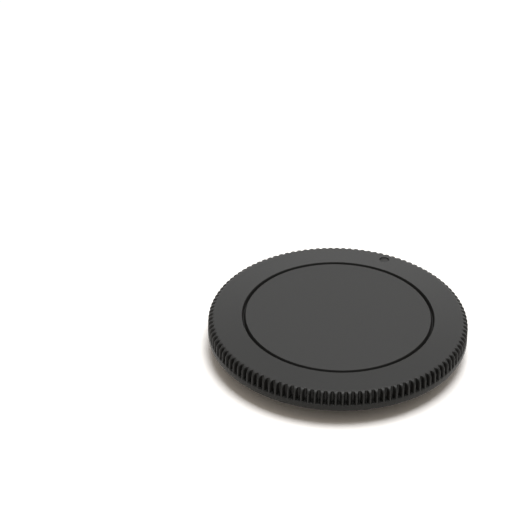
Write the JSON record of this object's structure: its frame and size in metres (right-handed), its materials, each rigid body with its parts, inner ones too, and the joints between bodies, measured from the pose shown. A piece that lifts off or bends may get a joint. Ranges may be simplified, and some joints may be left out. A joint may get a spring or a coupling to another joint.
{
  "type": "camera body cap",
  "caption": "Round black body cap for a bayonet-mount camera: flat centre disc, gently falling ring around it, fluted grip rim, and a collar with bayonet lugs behind.",
  "frame": {"origin": "on the cap's axis, in the plane of the collar's end that the cap stands on", "axes": "+Z along the axis, out through the front face; +Y from the axis towards the index mark; +X to the right of the mark"},
  "size_m": [0.06, 0.06, 0.0088],
  "materials": {
    "moulded_black": "black moulding with a fine spark-eroded satin grain"
  },
  "bodies": {
    "root": {"body_cap": "moulded_black"}
  },
  "joints": []
}
